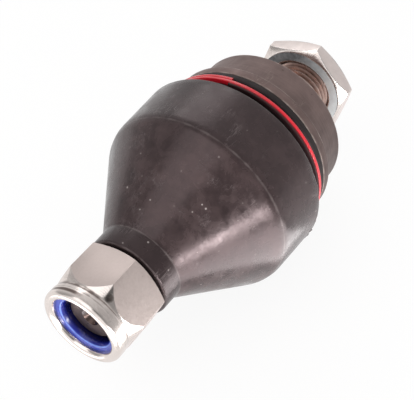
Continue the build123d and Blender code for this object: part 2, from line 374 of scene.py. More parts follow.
class Recipe:
    """A node tree being put together, with short calls for what it uses most."""

    def __init__(self, tree):
        self.tree = tree

    def add(self, kind, inputs=(), **settings):
        """A new node with its settings, and with its inputs joined or set."""
        item = self.tree.nodes.new(kind)
        for key, value in settings.items():
            setattr(item, key, value)
        self.feed(item, inputs)
        return item

    def find(self, kind):
        return next(item for item in self.tree.nodes if item.type == kind)

    def link(self, source, target):
        self.tree.links.new(source, target)

    def feed(self, item, inputs):
        """Join each of these inputs to a socket, or set its own value."""
        for key, value in dict(inputs).items():
            if isinstance(value, bpy.types.NodeSocket):
                self.link(value, item.inputs[key])
            else:
                item.inputs[key].default_value = value

    def maths(self, operation, first, second=0.0, clamp=False):
        return self.add("ShaderNodeMath", {0: first, 1: second}, operation=operation, use_clamp=clamp).outputs[0]

    def times(self, first, second, clamp=False):
        return self.maths("MULTIPLY", first, second, clamp)

    def plus(self, first, second, clamp=False):
        return self.maths("ADD", first, second, clamp)

    def minus(self, first, second, clamp=False):
        return self.maths("SUBTRACT", first, second, clamp)

    def most(self, first, second):
        return self.maths("MAXIMUM", first, second)

    def spread(self, value, low, high, to_low=0.0, to_high=1.0):
        """Carry the range from low to high over to another one, and hold its ends."""
        return self.add("ShaderNodeMapRange", {
            "Value": value, "From Min": low, "From Max": high, "To Min": to_low, "To Max": to_high,
        }).outputs["Result"]

    def layered(self, colour, *layers):
        """Lay colours over a first one, each with its mask and the share of it that counts."""
        colour = (*colour, 1.0)
        for mask, share, shade in layers:
            inputs = {"Factor": self.times(mask, share), "A": colour, "B": (*shade, 1.0)}
            colour = self.add("ShaderNodeMix", inputs, data_type="RGBA", clamp_factor=True).outputs["Result"]
        return colour

    def place(self):
        """Where a point lies on its own piece, in metres."""
        return self.add("ShaderNodeTexCoord").outputs["Object"]

    def split(self, place):
        return self.add("ShaderNodeSeparateXYZ", {0: place}).outputs

    def along(self):
        """Place along the joint's axis in millimetres."""
        return self.times(self.split(self.place())["X"], PER_METRE)

    def radius(self):
        """Distance from the joint's axis in millimetres."""
        parts = self.split(self.place())
        square = self.plus(self.times(parts["Y"], parts["Y"]), self.times(parts["Z"], parts["Z"]))
        return self.times(self.maths("SQRT", square), PER_METRE)

    def vector(self, operation, place, other):
        return self.add("ShaderNodeVectorMath", {0: place, 1: other}, operation=operation).outputs["Value"]

    def towards(self, y, z):
        """How far a point lies in this direction across the axis, in millimetres."""
        return self.vector("DOT_PRODUCT", self.place(), (0, y * PER_METRE, z * PER_METRE))

    def noise(self, place, scale, detail=2.0, roughness=0.5, distortion=0.0):
        return self.add("ShaderNodeTexNoise", {
            "Vector": place, "Scale": scale, "Detail": detail, "Roughness": roughness, "Distortion": distortion,
        }).outputs[0]

    def grain(self, size, detail=2.0):
        """Fine noise with features of this size in millimetres."""
        return self.noise(self.place(), PER_METRE / size, detail)

    def group(self, name, build, **values):
        """The output of a shared node group, which the first material that asks for it builds."""
        tree = bpy.data.node_groups.get(name) or build(name)
        inputs = {key.capitalize(): value for key, value in values.items()}
        return self.add("ShaderNodeGroup", inputs, node_tree=tree).outputs[0]

    def clouds(self, size, contrast):
        return self.group("Clouds", cloud_group, size=size, contrast=contrast)

    def specks(self, spacing, share, size):
        return self.group("Specks", speck_group, spacing=spacing, share=share, size=size)

    def marks(self, rings):
        return self.group("Lathe marks", lathe_group, rings=rings)

    def scratches(self, length, amount):
        return self.group("Scratches", scratch_group, length=length, amount=amount)

    def painted_edge_lines(self, circles):
        """The strongest of the painted highlight and shade lines along several turned edges: X, radius, width,
        breaks, share.
        """
        total = None
        for along, radius, width, breaks, share in circles:
            line = self.group(
                "Painted edge line", painted_edge_line_group, along=along, radius=radius, width=width, breaks=breaks)
            painted_edge_line = self.times(line, share)
            total = painted_edge_line if total is None else self.most(total, painted_edge_line)
        return total


class Finish(Recipe):
    """A material being put together, with the Principled shader that it feeds."""

    def __init__(self, name, **sockets):
        self.material = bpy.data.materials.new(name)
        self.material.use_nodes = True
        super().__init__(self.material.node_tree)
        self.shader = self.find("BSDF_PRINCIPLED")
        self.feed(self.shader, {key.replace("_", " "): value for key, value in sockets.items()})

    def done(self, colour, roughness, layers):
        """Join colour, roughness and bump layers, each a height with its distance in millimetres and strength."""
        below = {}
        for height, distance, strength in layers:
            inputs = {"Height": height, "Distance": distance * MM, "Strength": strength, **below}
            below = {"Normal": self.add("ShaderNodeBump", inputs).outputs["Normal"]}
        self.feed(self.shader, {"Base Color": colour, "Roughness": roughness, **below})
        return self.material


def new_group(name, result, **inputs):
    """A node group with float inputs and one output."""
    tree = bpy.data.node_groups.new(name, "ShaderNodeTree")
    for label, value in inputs.items():
        socket = tree.interface.new_socket(label.capitalize(), in_out="INPUT", socket_type="NodeSocketFloat")
        socket.default_value = value
    tree.interface.new_socket(result, in_out="OUTPUT", socket_type="NodeSocketFloat")
    recipe = Recipe(tree)
    return recipe, recipe.add("NodeGroupInput").outputs, recipe.add("NodeGroupOutput").inputs[result]


def lathe_group(name):
    """Fine rings left by turning, on cylinders, cones and faces alike."""
    recipe, given, result = new_group(name, "Marks", rings=3.0)
    reach = recipe.plus(recipe.times(recipe.along(), 0.83), recipe.radius())
    noise = recipe.add("ShaderNodeTexNoise", {
        "W": recipe.times(reach, given["Rings"]), "Scale": 1.0, "Detail": 3.0, "Roughness": 0.65,
    }, noise_dimensions="1D")
    recipe.link(noise.outputs[0], result)
    return recipe.tree


def cloud_group(name):
    """Soft patches of this size in millimetres."""
    recipe, given, result = new_group(name, "Clouds", size=6.0, contrast=1.0)
    scale = recipe.maths("DIVIDE", PER_METRE, given["Size"])
    centred = recipe.minus(recipe.noise(recipe.place(), scale, 5.0, 0.6, 0.3), 0.5)
    wide = recipe.times(centred, recipe.times(given["Contrast"], 2.0))
    recipe.link(recipe.plus(wide, 0.5, clamp=True), result)
    return recipe.tree


def speck_group(name):
    """Round specks in a share of the cells, which lie this many millimetres apart."""
    recipe, given, result = new_group(name, "Specks", spacing=1.5, share=0.2, size=0.2)
    scale = recipe.maths("DIVIDE", PER_METRE, given["Spacing"])
    cells = recipe.add("ShaderNodeTexVoronoi", {"Vector": recipe.place(), "Scale": scale})
    pick = recipe.add("ShaderNodeSeparateColor", {0: cells.outputs["Color"]}).outputs
    chosen = recipe.maths("LESS_THAN", pick[0], given["Share"])
    own_size = recipe.times(given["Size"], recipe.plus(pick[1], 0.3))
    edge = recipe.times(recipe.minus(own_size, cells.outputs["Distance"]), 12.0, clamp=True)
    recipe.link(recipe.times(edge, chosen), result)
    return recipe.tree


def scratch_group(name):
    """Thin lines in three directions, in patches."""
    recipe, given, result = new_group(name, "Scratches", length=6.0, amount=0.5)
    total = None
    for turn, stretch in ((0.5, 9.0), (1.9, 12.0), (2.7, 7.0)):
        lay = recipe.add("ShaderNodeMapping", {
            "Vector": recipe.place(), "Rotation": (turn, turn * 0.7, turn * 1.3), "Scale": (1.0, stretch, stretch),
        })
        scale = recipe.maths("DIVIDE", PER_METRE, given["Length"])
        off = recipe.maths("ABSOLUTE", recipe.minus(recipe.noise(lay.outputs[0], scale, 1.0, distortion=0.4), 0.5))
        line = recipe.minus(1.0, recipe.times(off, 90.0), clamp=True)
        total = line if total is None else recipe.most(total, line)
    limit = recipe.minus(1.0, recipe.times(given["Amount"], 0.6))
    where = recipe.times(recipe.minus(recipe.noise(recipe.place(), 160.0), limit), 14.0, clamp=True)
    recipe.link(recipe.times(total, where), result)
    return recipe.tree


def painted_edge_line_group(name):
    """A mask for a painted highlight or painted shade along one turned edge: near the circle at X with this radius,
    broken up by noise.
    """
    recipe, given, result = new_group(name, "Painted line", along=0.0, radius=10.0, width=0.4, breaks=0.5)
    off_radius = recipe.minus(recipe.radius(), given["Radius"])
    off_along = recipe.minus(recipe.along(), given["Along"])
    square = recipe.plus(recipe.times(off_radius, off_radius), recipe.times(off_along, off_along))
    distance = recipe.maths("DIVIDE", recipe.maths("SQRT", square), given["Width"])
    unevenness = recipe.minus(recipe.noise(recipe.place(), 420.0, 4.0), 0.5)
    ragged = recipe.times(unevenness, recipe.times(given["Breaks"], 5.0))
    line = recipe.minus(recipe.minus(1.0, distance), ragged, clamp=True)
    near_line = recipe.minus(1.6, distance, clamp=True)
    recipe.link(recipe.times(line, near_line, clamp=True), result)
    return recipe.tree


# ---------------------------------------------------------------- finishes

def rubber_finish(settings):
    recipe = Finish("Boot rubber", Specular_Tint=(1.0, 0.8, 0.81, 1.0))
    film = recipe.clouds(16.0, 1.3)
    smears = recipe.clouds(4.0, 1.6)
    wisps = recipe.clouds(1.7, 1.9)
    specks = recipe.specks(2.0, 0.16, 0.1)
    dust = recipe.specks(1.1, 0.3, 0.2)
    scratches = recipe.scratches(9.0, 0.72)
    marks = recipe.marks(0.9)
    # Painted highlights along the rim, the shoulder, the cone's start and the neck's front.
    painted_edge_line = recipe.painted_edge_lines([
        (RIM, RIM_RADIUS, 0.22, 0.35, 0.8), (SHOULDER + 0.1, 23.6, 0.3, 0.5, 0.22),
        (CONE_START, CONE_RADIUS, 0.25, 0.5, 0.3), (NECK_FRONT, NECK_RADIUS, 0.3, 0.5, 0.4),
    ])
    # Painted shade in the groove behind the rim, where it is darker and rougher.
    painted_groove_shade = recipe.times(
        recipe.spread(recipe.along(), -19.2, -18.9), recipe.spread(recipe.radius(), 24.4, 23.9))
    streaks = recipe.times(recipe.times(wisps, film), 0.3)
    veil = recipe.plus(recipe.times(film, 0.4), recipe.plus(recipe.times(smears, 0.34), streaks))
    # The neck takes only a quarter of the bloom: painted shade that keeps it darker than the cone.
    neck = recipe.spread(recipe.along(), CONE_START + 0.6, CONE_START - 0.2, 1.0, 0.25)
    drum = recipe.spread(recipe.along(), SHOULDER - 1.0, SHOULDER + 0.5, 1.0, 0.5)
    clusters = recipe.times(dust, recipe.spread(smears, 0.62, 0.8))
    dots = recipe.most(recipe.times(specks, 0.3), recipe.times(clusters, 0.6))
    colour = recipe.layered(
        settings.rubber,
        (recipe.times(veil, drum), neck, settings.bloom),
        (scratches, 0.5, tone(118, 108, 108)),
        (dots, 1.0, tone(200, 190, 186)),
        (painted_edge_line, 1.0, tone(150, 140, 138)),
        (painted_groove_shade, 1.0, tone(20, 18, 18)))
    dull = recipe.plus(recipe.spread(smears, 0, 1, 0.18, 0.36), recipe.times(specks, 0.2))
    dusty = recipe.plus(dull, recipe.times(scratches, 0.1))
    return recipe.done(
        colour, recipe.plus(dusty, recipe.times(painted_groove_shade, 0.4)),
        [(recipe.grain(0.5), 0.02, 0.35), (marks, 0.05, 0.3), (scratches, 0.04, 0.25), (smears, 0.12, 0.15)])


def ring_finish(settings):
    """Red coat, with painted shade on its inner side and on the near turn's front, where the boot's rim keeps the
    light off.
    """
    recipe = Finish("Red wire coat", Coat_Roughness=0.12)
    clouds = recipe.clouds(2.0, 1.4)
    specks = recipe.specks(1.1, 0.14, 0.2)
    cosine, sine = math.cos(settings.step_angle), math.sin(settings.step_angle)
    around = recipe.maths("ARCTAN2", recipe.towards(sine, -cosine), recipe.towards(-cosine, -sine))
    turn = recipe.spread(around, -math.pi, math.pi)
    helix = recipe.minus(recipe.along(), recipe.times(turn, settings.pitch / MM))
    # Painted shade on the near turn's front and on the inner side, fading out towards one end of the coil.
    shade = recipe.spread(turn, 0.78, 0.93, 1.0, 0.0)
    low = recipe.spread(recipe.radius(), 22.45, 22.1)
    painted_rim_shade = recipe.times(recipe.plus(recipe.spread(helix, -15.45, -15.7), low, clamp=True), shade)
    painted_deep_shade = recipe.times(recipe.spread(helix, -15.75, -16.0), shade)
    colour = recipe.layered(
        settings.coat,
        (clouds, 0.3, tone(170, 4, 20)),
        (painted_rim_shade, 0.85, tone(84, 4, 12)),
        (painted_deep_shade, 0.9, tone(14, 8, 9)),
        (specks, 0.3, tone(245, 110, 112)))
    recipe.feed(recipe.shader, {"Coat Weight": recipe.spread(painted_rim_shade, 0, 1, 0.4, 0.0)})
    dull = recipe.plus(recipe.spread(clouds, 0, 1, 0.26, 0.4), recipe.times(painted_rim_shade, 0.4))
    return recipe.done(colour, dull, [(recipe.grain(0.3), 0.02, 0.3)])


def phosphate_finish(settings):
    recipe = Finish("Phosphated steel", Metallic=0.6)
    clouds = recipe.clouds(6.0, 1.2)
    specks = recipe.specks(1.9, 0.16, 0.14)
    pits = recipe.specks(0.8, 0.2, 0.2)
    marks = recipe.marks(2.2)
    scratches = recipe.scratches(7.0, 0.7)
    # Painted highlights along the body's edge and the flange's edges.
    painted_edge_line = recipe.painted_edge_lines([
        (0, BODY_RADIUS, 0.55, 0.5, 0.9), (FLANGE_BACK, FLANGE_RADIUS, 0.4, 0.6, 0.7),
        (FLANGE_BACK, BODY_RADIUS, 0.35, 0.7, 0.5), (FLANGE_FRONT, FLANGE_RADIUS, 0.3, 0.5, 0.7),
    ])
    # Painted shade on one side of the housing, laid on together with darker oily patches in one colour.
    painted_shade_side = recipe.spread(recipe.towards(-0.94, -0.34), 2.0, 18.0, 0.0, 0.6)
    oil_and_painted_shade = recipe.plus(recipe.times(clouds, 0.5), painted_shade_side, clamp=True)
    colour = recipe.layered(
        settings.steel,
        (oil_and_painted_shade, 1.0, tone(78, 65, 63)),
        (recipe.spread(marks, 0.45, 0.8), 0.3, tone(142, 122, 116)),
        (scratches, 0.4, tone(176, 158, 150)),
        (specks, 0.5, tone(60, 46, 43)),
        (painted_edge_line, 0.8, tone(205, 190, 182)))
    return recipe.done(
        colour, recipe.spread(clouds, 0, 1, 0.44, 0.6),
        [(recipe.grain(0.3), 0.03, 0.3), (marks, 0.03, 0.35), (pits, 0.03, 0.2)])


def thread_finish(settings):
    recipe = Finish("Rubbed thread", Metallic=0.9)
    clouds = recipe.clouds(4.0, 1.6)
    specks = recipe.specks(0.7, 0.25, 0.25)
    # A painted highlight along the thread's crests.
    crest_highlight = recipe.spread(recipe.radius(), SHANK_RADIUS - 0.5, SHANK_RADIUS)
    colour = recipe.layered(
        settings.copper,
        (recipe.minus(1.0, clouds), 1.0, tone(104, 86, 82)),
        (crest_highlight, 0.6, tone(226, 200, 190)),
        (specks, 0.5, tone(80, 58, 54)))
    return recipe.done(colour, recipe.spread(clouds, 0, 1, 0.42, 0.24), [(recipe.grain(0.2), 0.02, 0.3)])


def stud_finish(settings):
    """Turned steel, darker on its end face, with a painted highlight on one side of its centre hole and painted
    shade on the other.
    """
    recipe = Finish("Stud steel", Metallic=1.0)
    clouds = recipe.clouds(2.5, 1.4)
    specks = recipe.specks(0.9, 0.2, 0.22)
    marks = recipe.marks(4.0)
    # A painted highlight on one side of the centre hole.
    upwards = recipe.maths("DIVIDE", recipe.towards(0.26, 0.965), recipe.radius())
    painted_highlight_side = recipe.spread(upwards, -0.1, 0.6)
    in_hole = recipe.spread(recipe.radius(), 2.1, 1.9)
    # All but the highlit side of the hole: the end face, and the hole's other side as painted shade.
    dull = recipe.most(recipe.spread(recipe.radius(), 1.95, 2.15), recipe.minus(1.0, painted_highlight_side))
    end_face = recipe.times(recipe.spread(recipe.along(), -69.4, -70.0), dull)
    colour = recipe.layered(
        settings.steel,
        (clouds, 0.6, tone(100, 84, 82)),
        (recipe.spread(marks, 0.4, 0.8), 0.4, tone(178, 163, 157)),
        (specks, 0.5, tone(70, 54, 52)),
        (painted_highlight_side, in_hole, tone(244, 236, 232)),
        (end_face, 0.9, tone(66, 53, 50)))
    return recipe.done(colour, recipe.spread(clouds, 0, 1, 0.26, 0.4), [(marks, 0.03, 0.5)])


def zinc_flat_finish(settings):
    recipe = Finish("Zinc, drawn flats", Metallic=0.8)
    clouds = recipe.clouds(5.0, 1.3)
    specks = recipe.specks(1.5, 0.22, 0.13)
    mottle = recipe.clouds(0.6, 1.6)
    colour = recipe.layered(
        settings.drawn,
        (recipe.spread(recipe.along(), -50, 10), 1.0, tone(236, 224, 220)),
        (clouds, 0.35, tone(178, 165, 160)),
        (mottle, 0.2, tone(226, 214, 210)),
        (specks, 0.45, tone(132, 120, 116)))
    return recipe.done(
        colour, recipe.spread(mottle, 0, 1, 0.36, 0.5),
        [(recipe.grain(0.25, 4.0), 0.025, 0.35), (specks, 0.02, 0.3)])


def zinc_turned_finish(settings):
    """Bright zinc with painted dark reflections: along the crease, in one spot and in a streak along the lip's
    upper side.
    """
    recipe = Finish("Zinc, turned", Metallic=1.0)
    clouds = recipe.clouds(3.5, 1.0)
    marks = recipe.marks(2.5)
    # Painted dark reflection along the crease and the collar's top, strongest on one side.
    crease_painted_reflection = recipe.painted_edge_lines([(CREASE - 0.3, 9.45, 0.62, 0.55, 0.9), (CREASE - 1.25, 9.66, 0.24, 0.9, 0.5)])
    crease_reflection_one_side = recipe.times(crease_painted_reflection, recipe.spread(recipe.towards(0.7, 0.7), -1.0, 5.5, 0.2, 1.0))
    # A painted dark spot of reflection, with faint random blotches from the clouds.
    distance = recipe.vector("DISTANCE", recipe.place(), (-0.0698, -0.0047, 0.0084))
    painted_dark_spot = recipe.plus(
        recipe.spread(distance, 0.0012, 0.0006), recipe.spread(clouds, 0.3, 0.7, -0.4, 0.1), clamp=True)
    # A painted dark reflection in a streak along the lip's upper side.
    lip_line = recipe.times(
        recipe.spread(recipe.along(), -73.5, -73.2), recipe.spread(recipe.along(), -72.5, -72.75))
    lip_painted_reflection = recipe.times(lip_line, recipe.spread(recipe.towards(0.42, 0.908), 8.3, 9.2, 0.0, 0.9))
    painted_dark_reflections = recipe.most(recipe.most(crease_reflection_one_side, painted_dark_spot), lip_painted_reflection)
    colour = recipe.layered(settings.zinc, (clouds, 0.3, tone(212, 202, 196)), (painted_dark_reflections, 1.0, tone(88, 72, 66)))
    return recipe.done(
        colour, recipe.spread(clouds, 0, 1, 0.14, 0.26),
        [(marks, 0.04, 0.35), (recipe.grain(0.9), 0.04, 0.15)])


def zinc_face_finish():
    recipe = Finish("Zinc, pressed face", Metallic=0.4)
    clouds = recipe.clouds(4.0, 1.3)
    mottle = recipe.clouds(0.8, 1.6)
    # A painted reflection: the face darkens towards one side, varied by soft patches.
    face_painted_reflection = recipe.plus(
        recipe.spread(recipe.towards(-0.8, -0.6), 10.0, -8.0), recipe.spread(clouds, 0, 1, -0.15, 0.15), clamp=True)
    colour = recipe.layered(
        tone(240, 244, 245), (face_painted_reflection, 1.0, tone(96, 99, 102)), (mottle, 0.2, tone(214, 218, 220)))
    return recipe.done(colour, recipe.spread(mottle, 0, 1, 0.34, 0.5), [(recipe.grain(0.25, 4.0), 0.025, 0.3)])


def zinc_edge_finish(settings):
    recipe = Finish("Zinc, rubbed edge", Metallic=1.0)
    mottle = recipe.clouds(1.2, 1.8)
    far_side = recipe.spread(recipe.along(), 20.1, 20.3)
    colour = recipe.layered(
        settings.zinc, (recipe.minus(1.0, mottle), 1.0, tone(246, 240, 236)), (far_side, 1.0, tone(96, 82, 80)))
    return recipe.done(colour, recipe.spread(mottle, 0, 1, 0.16, 0.32), [(recipe.grain(0.3), 0.02, 0.3)])


def nylon_finish(settings):
    recipe = Finish("Blue nylon", Coat_Weight=0.3, Coat_Roughness=0.12, Specular_IOR_Level=0.35)
    clouds = recipe.clouds(3.0, 1.0)
    # Painted shade deeper in the bore, painted light on the front face and a painted highlight on its inner edge.
    painted_bore_shade = recipe.spread(recipe.along(), -72.7, -71.6)
    painted_face_light = recipe.spread(recipe.radius(), 6.45, 6.7)
    lit = recipe.painted_edge_lines([(-72.95, 6.3, 0.26, 0.25, 0.9)])
    colour = recipe.layered(
        settings.nylon,
        (clouds, 0.4, tone(14, 18, 92)),
        (painted_bore_shade, 0.9, tone(5, 7, 38)),
        (painted_face_light, 0.6, tone(34, 62, 168)),
        (lit, 1.0, tone(126, 156, 240)))
    return recipe.done(colour, recipe.spread(clouds, 0, 1, 0.22, 0.35), [(recipe.marks(1.6), 0.03, 0.2)])


def inner_finish(name, shade, metallic, low, high):
    """Finish of a piece inside the housing: oiled steel or greased plastic."""
    recipe = Finish(name, Metallic=metallic)
    clouds = recipe.clouds(4.0, 1.2)
    colour = recipe.layered(shade, (clouds, 0.5, [value * 0.7 for value in shade]))
    return recipe.done(colour, recipe.spread(clouds, 0, 1, low, high), [(recipe.marks(2.0), 0.02, 0.3)])


def dress(piece, *materials):
    piece.data.materials.clear()
    for material in materials:
        piece.data.materials.append(material)


def place_on(piece, body, slot, *nodes):
    """Let a finished piece ride on a body, in the place of its CAD nodes."""
    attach(piece, body)
    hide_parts(*nodes)


# ---------------------------------------------------------------- pieces

class BALLJOINT_OT_dust_boot(bpy.types.Operator):
    """Rubber boot from the neck behind the lock nut to the bead in the housing's groove"""
    bl_idname = "ball_joint.dust_boot"
    bl_label = "Dust boot"

    def execute(self, context):
        settings = context.scene.ball_joint_boot
        wall = settings.wall / MM
        slope = (SHOULDER_RADIUS - CONE_RADIUS) / (SHOULDER - CONE_START)
        drop = wall * math.hypot(1, slope)
        inside = SHOULDER_RADIUS - wall
        inner_shoulder = CONE_START + (inside + drop - CONE_RADIUS) / slope
        throat = CONE_START + (NECK_BORE + drop - CONE_RADIUS) / slope
        boot = draw_line("boot_skin", [
            (NECK_FRONT, 8.75), (NECK_FRONT, NECK_RADIUS), (CONE_START, CONE_RADIUS),
            (SHOULDER, SHOULDER_RADIUS), (RIM, RIM_RADIUS), (-18.8, 22.4), (-17.9, 20.9), (-16.9, 20.8),
            (-16.4, 21.3), (-13.5, 21.3), (-13.2, 21.8), (-11.75, 21.8), (-11.75, 17.95), (-16.45, 17.95),
            (-16.45, 19.3), (-18.7, 19.3), (-20.7, inside), (inner_shoulder, inside), (throat, NECK_BORE),
            (-54.4, NECK_BORE), (-54.4, 8.75),
        ], rounds=[
            (NECK_FRONT, NECK_RADIUS, 0.55, 3), (CONE_START, CONE_RADIUS, 0.35, 3),
            (SHOULDER, SHOULDER_RADIUS, 1.5, 5), (RIM, RIM_RADIUS, 0.3, 2), (-13.2, 21.8, 0.12, 1),
            (-11.75, 21.8, 0.25, 2), (inner_shoulder, inside, 1.2, 4), (throat, NECK_BORE, 0.5, 2),
        ])
        split_run(boot, -54.5, -32.0, 11)
        split_run(boot, -34.5, -18.6, 7)
        spin_line(boot, settings.sides)
        self.roughen_rim(boot, 183, 209, 0.5, 7)
        self.roughen_rim(boot, 147, 172, 0.22, 3)
        smooth(boot, 38)
        dress(boot, rubber_finish(settings))
        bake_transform(boot)
        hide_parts("dust_boot")
        return {"FINISHED"}

    def roughen_rim(self, boot, first, last, ragged, seed):
        """Leave ragged flash on the rim between two angles, in degrees from +Y towards +Z."""
        edit(boot)
        select_where(boot, lambda place: (
            RIM - 0.5 < place.x / MM < RIM + 0.7
            and math.hypot(place.y, place.z) > 23.8 * MM
            and first < math.degrees(math.atan2(place.z, place.y)) % 360 < last))
        bpy.ops.transform.vertex_random(offset=ragged * MM, seed=seed)
        bpy.ops.object.mode_set(mode="OBJECT")


class BALLJOINT_OT_boot_ring(bpy.types.Operator):
    """Red flat wire coiled twice round the boot's bead, its ends lying side by side"""
    bl_idname = "ball_joint.boot_ring"
    bl_label = "Boot ring"

    def execute(self, context):
        settings = context.scene.ball_joint_ring
        width = settings.width / MM
        height = settings.height / MM
        pitch = settings.pitch / MM
        far_end, inner = -14.15, 21.35
        front, back, outer = far_end - width / 2, far_end + width / 2, inner + height
        outline = [(front, inner), (front, outer), (back, outer), (back, inner)]
        ring = draw_line("boot_ring_coil", outline, rounds=[(x, r, 0.2, 3) for x, r in outline])
        screw_line(ring, -settings.turns * FULL_TURN, -pitch * settings.turns * MM, 288)
        apply_all(ring)
        edit(ring)
        bpy.ops.mesh.select_all(action="DESELECT")
        bpy.ops.mesh.select_non_manifold(extend=False)
        bpy.ops.mesh.fill()
        face_outwards()
        ring.data.transform(Matrix.Rotation(settings.step_angle - math.pi / 2, 4, "X"))
        smooth(ring, 40)
        dress(ring, ring_finish(settings))
        place_on(ring, "boot", "ring_coat", "boot_ring")
        return {"FINISHED"}


class BALLJOINT_OT_housing(bpy.types.Operator):
    """Turned cup with its groove, flange and undercut, and the threaded shank"""
    bl_idname = "ball_joint.housing"
    bl_label = "Housing"

    def execute(self, context):
        settings = context.scene.ball_joint_housing
        housing = turned("housing_cup", [
            (2.6, 0), (2.6, 6.9), (0.9, 6.9), (0, 7.7), (0, BODY_RADIUS), (FLANGE_BACK, BODY_RADIUS),
            (FLANGE_BACK, FLANGE_RADIUS), (FLANGE_FRONT, FLANGE_RADIUS), (FLANGE_FRONT, 17.8),
            (-16.6, 17.8), (-16.6, 19.0),
            (-32.2, 19.0), (-33.4, 17.8), (-33.4, 15.5), (-32.1, 15.5), (-32.1, 16.6),
            (-30.85, 16.6), (-30.85, 15.5), (-5.6, 15.5), (-5.6, 0),
        ], rounds=[
            (0.9, 6.9, 0.5, 3), (0, BODY_RADIUS, 0.6, 3), (FLANGE_BACK, BODY_RADIUS, 0.4, 2),
            (FLANGE_BACK, FLANGE_RADIUS, 0.35, 3), (FLANGE_FRONT, FLANGE_RADIUS, 0.25, 2),
            (-16.6, 19.0, 0.3, 2), (-32.2, 19.0, 0.3, 2),
        ], sides=160, closed=False)
        smooth(housing, 35)
        dress(housing, phosphate_finish(settings))
        place_on(housing, "housing", "housing_steel", "housing")
        thread = threaded(
            "shank_thread", SHANK_RADIUS, settings.thread_pitch / MM, 2.2, SHANK_END, (0.95, 1.1))
        smooth(thread, 30)
        dress(thread, thread_finish(settings))
        place_on(thread, "housing", "housing_steel", "housing")
        return {"FINISHED"}


class BALLJOINT_OT_ball_stud(bpy.types.Operator):
    """Ball, waist, journal and taper in one turned piece, and the threaded end"""
    bl_idname = "ball_joint.ball_stud"
    bl_label = "Ball stud"

    def execute(self, context):
        settings = context.scene.ball_joint_stud
        flat, waist, steps = 24, 151.5, 32
        angles = (math.radians(flat + step * (waist - flat) / steps) for step in range(steps + 1))
        ball = [(BALL_CENTRE + BALL_RADIUS * math.cos(angle), BALL_RADIUS * math.sin(angle)) for angle in angles]
        stud = turned("stud_body", [
            (-10.6, 0), *ball, (-36.4, 6.2), (-37.6, 7.5), (-41.5, 7.5), (-56.0, 6.59),
            (-56.0, 5.2), (-55.0, 5.2), (-55.0, 0),
        ], rounds=[(-36.4, 6.2, 0.5, 2), (-37.6, 7.5, 0.2, 2)], closed=False)
        smooth(stud, 35)
        steel = stud_finish(settings)
        dress(stud, steel)
        place_on(stud, "stud", "stud_steel", "ball_stud")
        thread = threaded(
            "stud_thread", STUD_RADIUS, settings.thread_pitch / MM, STUD_END, -55.5, (1.1, 0),
            hole=[(-67.0, 0), (-67.0, 0.8), (-69.4, 0.8), (STUD_END, 1.96)])
        smooth(thread, 30)
        dress(thread, steel)
        place_on(thread, "stud", "stud_steel", "ball_stud")
        return {"FINISHED"}


class BALLJOINT_OT_lock_nut(bpy.types.Operator):
    """Hexagon lock nut with its rolled collar, and the blue nylon ring inside it"""
    bl_idname = "ball_joint.lock_nut"
    bl_label = "Lock nut"

    def execute(self, context):
        settings = context.scene.ball_joint_nuts
        flats = zinc_flat_finish(settings)
        round_parts = zinc_turned_finish(settings)
        edges = zinc_edge_finish(settings)
        slope = (CORNER_RADIUS - CREASE_RADIUS) / (CORNER - CREASE)
        beyond = 12.0
        neck = (CREASE - 0.55, LIP_RADIUS + LIP_ROUND)
        roll = [(LIP - LIP_ROUND * math.sin(turn), LIP_RADIUS + LIP_ROUND * math.cos(turn))
                for turn in (math.radians(12 * step) for step in range(16))]
        nut = turned("lock_nut_shell", [
            (-59.6, 6.6), (-59.6, 9.1), (-60.45, CORNER_RADIUS), (-60.45, beyond),
            (CREASE + (beyond - CREASE_RADIUS) / slope, beyond), (CREASE, CREASE_RADIUS), neck, *roll,
            (-73.1, 7.35), (-73.1, 8.25), (-70.05, 8.25), (-70.05, 6.05), (-60.15, 6.05),
        ], rounds=[(CREASE, CREASE_RADIUS, 0.28, 4), (*neck, 0.3, 4)], sides=144)
        clear_selection()
        bpy.ops.mesh.primitive_cylinder_add(
            vertices=96, radius=14 * MM, depth=12 * MM,
            location=((CREASE + 6) * MM, 0, 0), rotation=(0, math.pi / 2, 0))
        waste = bpy.context.object
        waste.name = "lock_nut_waste"
        bpy.ops.object.transform_apply(location=True, rotation=True, scale=True)
        hexagon = hexagon_bar("lock_nut_hexagon", LOCK_NUT_FLATS, -72.5, -57.0, -7.1)
        cut_with(waste, hexagon, "DIFFERENCE")
        cut_with(nut, waste, "DIFFERENCE")
        dress(nut, flats, round_parts, edges)
        for face in nut.data.polygons:
            outside = math.hypot(face.center.y, face.center.z) > 9 * MM
            flat = abs(face.normal.x) < 0.05 and face.center.x / MM > CREASE + 0.2 and outside
            face.material_index = FLAT if flat else TURNED
        break_edges(nut, settings.edge, BROKEN_EDGE)
        smooth(nut, 30)
        place_on(nut, "lock_nut", "zinc_plate", "lock_nut")
        ring = turned("nylon_ring", [
            (-73.1, 6.4), (-73.1, 8.2), (-70.1, 8.2), (-70.1, 5.85), (-72.1, 5.85),
        ], rounds=[
            (-73.1, 6.4, 0.35, 4), (-73.1, 8.2, 0.25, 2), (-70.1, 5.85, 0.25, 2), (-72.1, 5.85, 0.3, 3),
        ])
        smooth(ring, 35)
        dress(ring, nylon_finish(settings))
        place_on(ring, "nut_insert", "nylon_blue", "lock_nut_insert")
        return {"FINISHED"}


